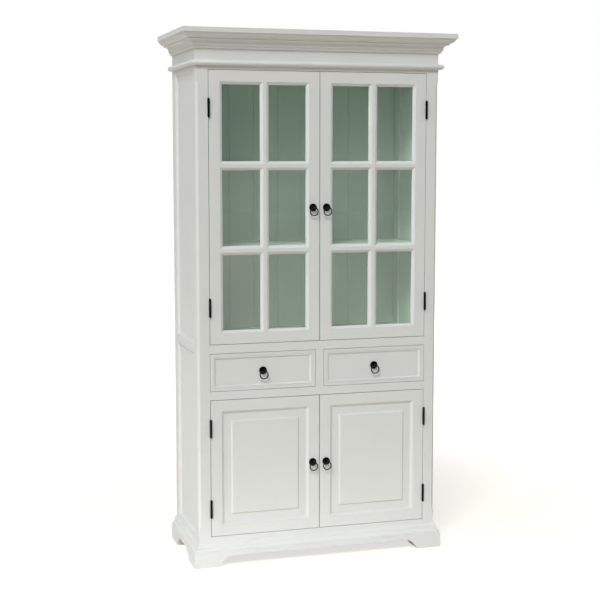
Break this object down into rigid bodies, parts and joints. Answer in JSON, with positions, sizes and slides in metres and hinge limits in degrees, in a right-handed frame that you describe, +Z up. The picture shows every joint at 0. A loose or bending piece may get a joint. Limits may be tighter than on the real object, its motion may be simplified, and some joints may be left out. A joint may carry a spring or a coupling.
{
  "type": "display cabinet",
  "caption": "Tall white painted display cabinet with barred glass doors above, drawers at the waist and raised-panel doors below, black ring pulls and a moulded cornice",
  "frame": {"origin": "on the floor, under the middle of the cabinet's bounding box", "axes": "+Z up, the front with its doors faces -Y, +X to the right as seen from the front"},
  "size_m": [1.064, 0.467, 2],
  "materials": {
    "white_paint": "satin off-white paint over wood, sprayed",
    "inside_paint": "matt pale grey-green paint over boards",
    "bare_wood": "planed and waxed pine",
    "float_glass": "clear float glass with a slight green tint",
    "black_iron": "blackened and waxed iron",
    "plain_steel": "plain zinc-plated steel"
  },
  "bodies": {
    "case": {"side_frame_left": "white_paint", "side_frame_right": "white_paint", "side_panels": "white_paint", "face_frame": "white_paint", "back_boards": "inside_paint", "display_ceiling": "inside_paint", "display_floor": "inside_paint", "drawer_deck": "bare_wood", "cupboard_floor": "inside_paint", "shelves": "inside_paint", "shelf_pins": "plain_steel", "frieze_boards": "white_paint", "bead_moulding": "white_paint", "crown_moulding": "white_paint", "cornice_cover": "white_paint", "base_moulding": "white_paint", "plinth_boards": "white_paint", "corner_blocks": "white_paint", "drawer_runners": "bare_wood", "hinge_frame_leaves": "black_iron", "hinge_pins": "black_iron", "door_catches": "plain_steel"},
    "upper_door_left": {"upper_door_left_frame": "white_paint", "upper_door_left_bars": "white_paint", "upper_door_left_glass": "float_glass", "upper_door_left_beads": "white_paint", "upper_door_left_hinges": "black_iron", "upper_door_left_pull": "black_iron", "upper_door_left_strike": "plain_steel"},
    "upper_door_left_ring": {"upper_door_left_ring": "black_iron"},
    "lower_door_left": {"lower_door_left_frame": "white_paint", "lower_door_left_panel": "white_paint", "lower_door_left_hinges": "black_iron", "lower_door_left_pull": "black_iron", "lower_door_left_strike": "plain_steel"},
    "lower_door_left_ring": {"lower_door_left_ring": "black_iron"},
    "drawer_left": {"drawer_left_front": "white_paint", "drawer_left_box": "bare_wood", "drawer_left_pull": "black_iron"},
    "drawer_left_ring": {"drawer_left_ring": "black_iron"},
    "upper_door_right": {"upper_door_right_frame": "white_paint", "upper_door_right_bars": "white_paint", "upper_door_right_glass": "float_glass", "upper_door_right_beads": "white_paint", "upper_door_right_hinges": "black_iron", "upper_door_right_pull": "black_iron", "upper_door_right_strike": "plain_steel"},
    "upper_door_right_ring": {"upper_door_right_ring": "black_iron"},
    "lower_door_right": {"lower_door_right_frame": "white_paint", "lower_door_right_panel": "white_paint", "lower_door_right_hinges": "black_iron", "lower_door_right_pull": "black_iron", "lower_door_right_strike": "plain_steel"},
    "lower_door_right_ring": {"lower_door_right_ring": "black_iron"},
    "drawer_right": {"drawer_right_front": "white_paint", "drawer_right_box": "bare_wood", "drawer_right_pull": "black_iron"},
    "drawer_right_ring": {"drawer_right_ring": "black_iron"}
  },
  "joints": [
    {"name": "upper_door_left_hinge", "type": "hinge", "parent": "case", "child": "upper_door_left", "pos_m": [-0.427, -0.1814, 1.348], "axis": [0, 0, -1], "range_deg": [0, 165]},
    {"name": "upper_door_left_ring_swing", "type": "hinge", "parent": "upper_door_left", "child": "upper_door_left_ring", "pos_m": [-0.027, -0.1925, 1.348], "axis": [-1, 0, 0], "range_deg": [-20, 120]},
    {"name": "lower_door_left_hinge", "type": "hinge", "parent": "case", "child": "lower_door_left", "pos_m": [-0.427, -0.1814, 0.3735], "axis": [0, 0, -1], "range_deg": [0, 165]},
    {"name": "lower_door_left_ring_swing", "type": "hinge", "parent": "lower_door_left", "child": "lower_door_left_ring", "pos_m": [-0.027, -0.1925, 0.3735], "axis": [-1, 0, 0], "range_deg": [-20, 120]},
    {"name": "drawer_left_slide", "type": "slide", "parent": "case", "child": "drawer_left", "axis": [0, -1, 0], "range_m": [0, 0.28]},
    {"name": "drawer_left_ring_swing", "type": "hinge", "parent": "drawer_left", "child": "drawer_left_ring", "pos_m": [-0.222, -0.1865, 0.7375], "axis": [-1, 0, 0], "range_deg": [-20, 120]},
    {"name": "upper_door_right_hinge", "type": "hinge", "parent": "case", "child": "upper_door_right", "pos_m": [0.427, -0.1814, 1.348], "axis": [0, 0, 1], "range_deg": [0, 165]},
    {"name": "upper_door_right_ring_swing", "type": "hinge", "parent": "upper_door_right", "child": "upper_door_right_ring", "pos_m": [0.027, -0.1925, 1.348], "axis": [-1, 0, 0], "range_deg": [-20, 120]},
    {"name": "lower_door_right_hinge", "type": "hinge", "parent": "case", "child": "lower_door_right", "pos_m": [0.427, -0.1814, 0.3735], "axis": [0, 0, 1], "range_deg": [0, 165]},
    {"name": "lower_door_right_ring_swing", "type": "hinge", "parent": "lower_door_right", "child": "lower_door_right_ring", "pos_m": [0.027, -0.1925, 0.3735], "axis": [-1, 0, 0], "range_deg": [-20, 120]},
    {"name": "drawer_right_slide", "type": "slide", "parent": "case", "child": "drawer_right", "axis": [0, -1, 0], "range_m": [0, 0.28]},
    {"name": "drawer_right_ring_swing", "type": "hinge", "parent": "drawer_right", "child": "drawer_right_ring", "pos_m": [0.222, -0.1865, 0.7375], "axis": [-1, 0, 0], "range_deg": [-20, 120]}
  ]
}
